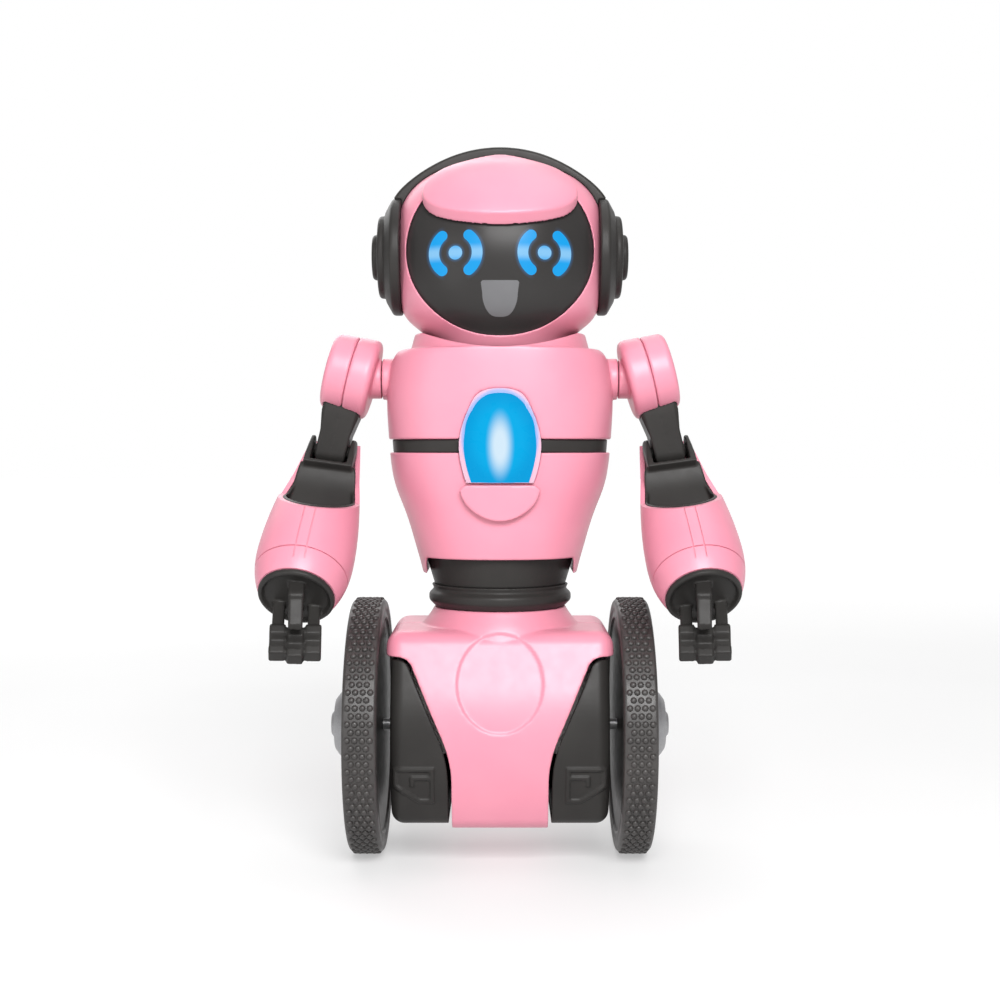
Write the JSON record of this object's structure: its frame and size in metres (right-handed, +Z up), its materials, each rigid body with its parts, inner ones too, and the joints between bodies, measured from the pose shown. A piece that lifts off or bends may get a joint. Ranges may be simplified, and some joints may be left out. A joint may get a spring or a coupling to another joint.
{
  "type": "two wheel balancing robot toy",
  "caption": "Two-wheel balancing robot toy with a swivelling visor head, lit chest window, posable arms with gripper hands and studded tyres.",
  "frame": {"origin": "on the ground, under the middle of the whole robot's box", "axes": "+Z up, the robot faces -Y, its own left side is +X"},
  "size_m": [0.1618, 0.1108, 0.25],
  "materials": {
    "pink_shell": "glossy moulded ABS, pink",
    "black_plastic": "satin moulded ABS, black",
    "white_plastic": "plain nylon",
    "steel": "plain drawn steel",
    "battery_wrap": "shrink wrap",
    "circuit_board": "solder mask",
    "tyre_rubber": "moulded rubber with studs",
    "silver_plastic": "satin silver",
    "visor_black": "smoked gloss",
    "eye_glow": "lit translucent blue",
    "mouth_grey": "satin grey window",
    "chest_glow": "lit translucent blue",
    "bezel_lilac": "translucent lilac"
  },
  "bodies": {
    "chassis": {"base_front_shell": "pink_shell", "base_rear_shell": "pink_shell", "battery_door": "pink_shell", "side_housing_left": "black_plastic", "side_housing_right": "black_plastic", "gearbox_left": "white_plastic", "gearbox_right": "white_plastic", "motor_left": "steel", "motor_right": "steel", "battery_pack": "battery_wrap", "control_board": "circuit_board", "charge_socket": "black_plastic", "shell_screws": "steel", "waist_ring": "black_plastic", "waist_cone": "black_plastic", "torso_lower_front": "pink_shell", "torso_lower_rear": "pink_shell", "torso_upper_front": "pink_shell", "torso_upper_rear": "pink_shell", "torso_band": "black_plastic", "chest_lens": "chest_glow", "chest_bezel": "bezel_lilac", "chest_lip": "pink_shell", "chest_led_board": "circuit_board", "speaker": "black_plastic", "neck_post": "black_plastic"},
    "head": {"head_front_shell": "pink_shell", "head_rear_shell": "pink_shell", "forehead_plate": "pink_shell", "visor": "visor_black", "eye_lights": "eye_glow", "mouth_window": "mouth_grey", "face_led_board": "circuit_board", "headband": "black_plastic", "ear_cup_left": "black_plastic", "ear_cup_right": "black_plastic"},
    "power_switch": {"power_switch": "black_plastic"},
    "wheel_left": {"tyre_left": "tyre_rubber", "wheel_rim_left": "black_plastic", "hub_cap_left": "silver_plastic", "wheel_axle_left": "steel"},
    "arm_left": {"shoulder_drum_inner_left": "pink_shell", "shoulder_drum_outer_left": "pink_shell", "upper_arm_left": "black_plastic"},
    "forearm_left": {"forearm_shell_inner_left": "pink_shell", "forearm_shell_outer_left": "pink_shell", "forearm_core_left": "black_plastic", "hand_left": "black_plastic"},
    "wheel_right": {"tyre_right": "tyre_rubber", "wheel_rim_right": "black_plastic", "hub_cap_right": "silver_plastic", "wheel_axle_right": "steel"},
    "arm_right": {"shoulder_drum_inner_right": "pink_shell", "shoulder_drum_outer_right": "pink_shell", "upper_arm_right": "black_plastic"},
    "forearm_right": {"forearm_shell_inner_right": "pink_shell", "forearm_shell_outer_right": "pink_shell", "forearm_core_right": "black_plastic", "hand_right": "black_plastic"}
  },
  "joints": [
    {"name": "head_turn", "type": "hinge", "parent": "chassis", "child": "head", "pos_m": [0, 0.0099, 0.182], "axis": [0, 0, 1], "range_deg": [-60, 60]},
    {"name": "wheel_left_spin", "type": "hinge", "parent": "chassis", "child": "wheel_left", "pos_m": [0.04675, 0.0099, 0.0455], "axis": [1, 0, 0], "continuous": true},
    {"name": "shoulder_left", "type": "hinge", "parent": "chassis", "child": "arm_left", "pos_m": [0.042, 0.0099, 0.1689], "axis": [1, 0, 0], "range_deg": [-150, 5]},
    {"name": "elbow_left", "type": "hinge", "parent": "arm_left", "child": "forearm_left", "pos_m": [0.0598, 0.0099, 0.1434], "axis": [0.991, 0, 0.134], "range_deg": [-55, 10]},
    {"name": "wheel_right_spin", "type": "hinge", "parent": "chassis", "child": "wheel_right", "pos_m": [-0.04675, 0.0099, 0.0455], "axis": [1, 0, 0], "continuous": true},
    {"name": "shoulder_right", "type": "hinge", "parent": "chassis", "child": "arm_right", "pos_m": [-0.042, 0.0099, 0.1689], "axis": [1, 0, 0], "range_deg": [-150, 5]},
    {"name": "elbow_right", "type": "hinge", "parent": "arm_right", "child": "forearm_right", "pos_m": [-0.0598, 0.0099, 0.1434], "axis": [0.991, 0, -0.134], "range_deg": [-55, 10]},
    {"name": "power_slide", "type": "slide", "parent": "chassis", "child": "power_switch", "axis": [1, 0, 0], "range_m": [0, 0.003]}
  ]
}
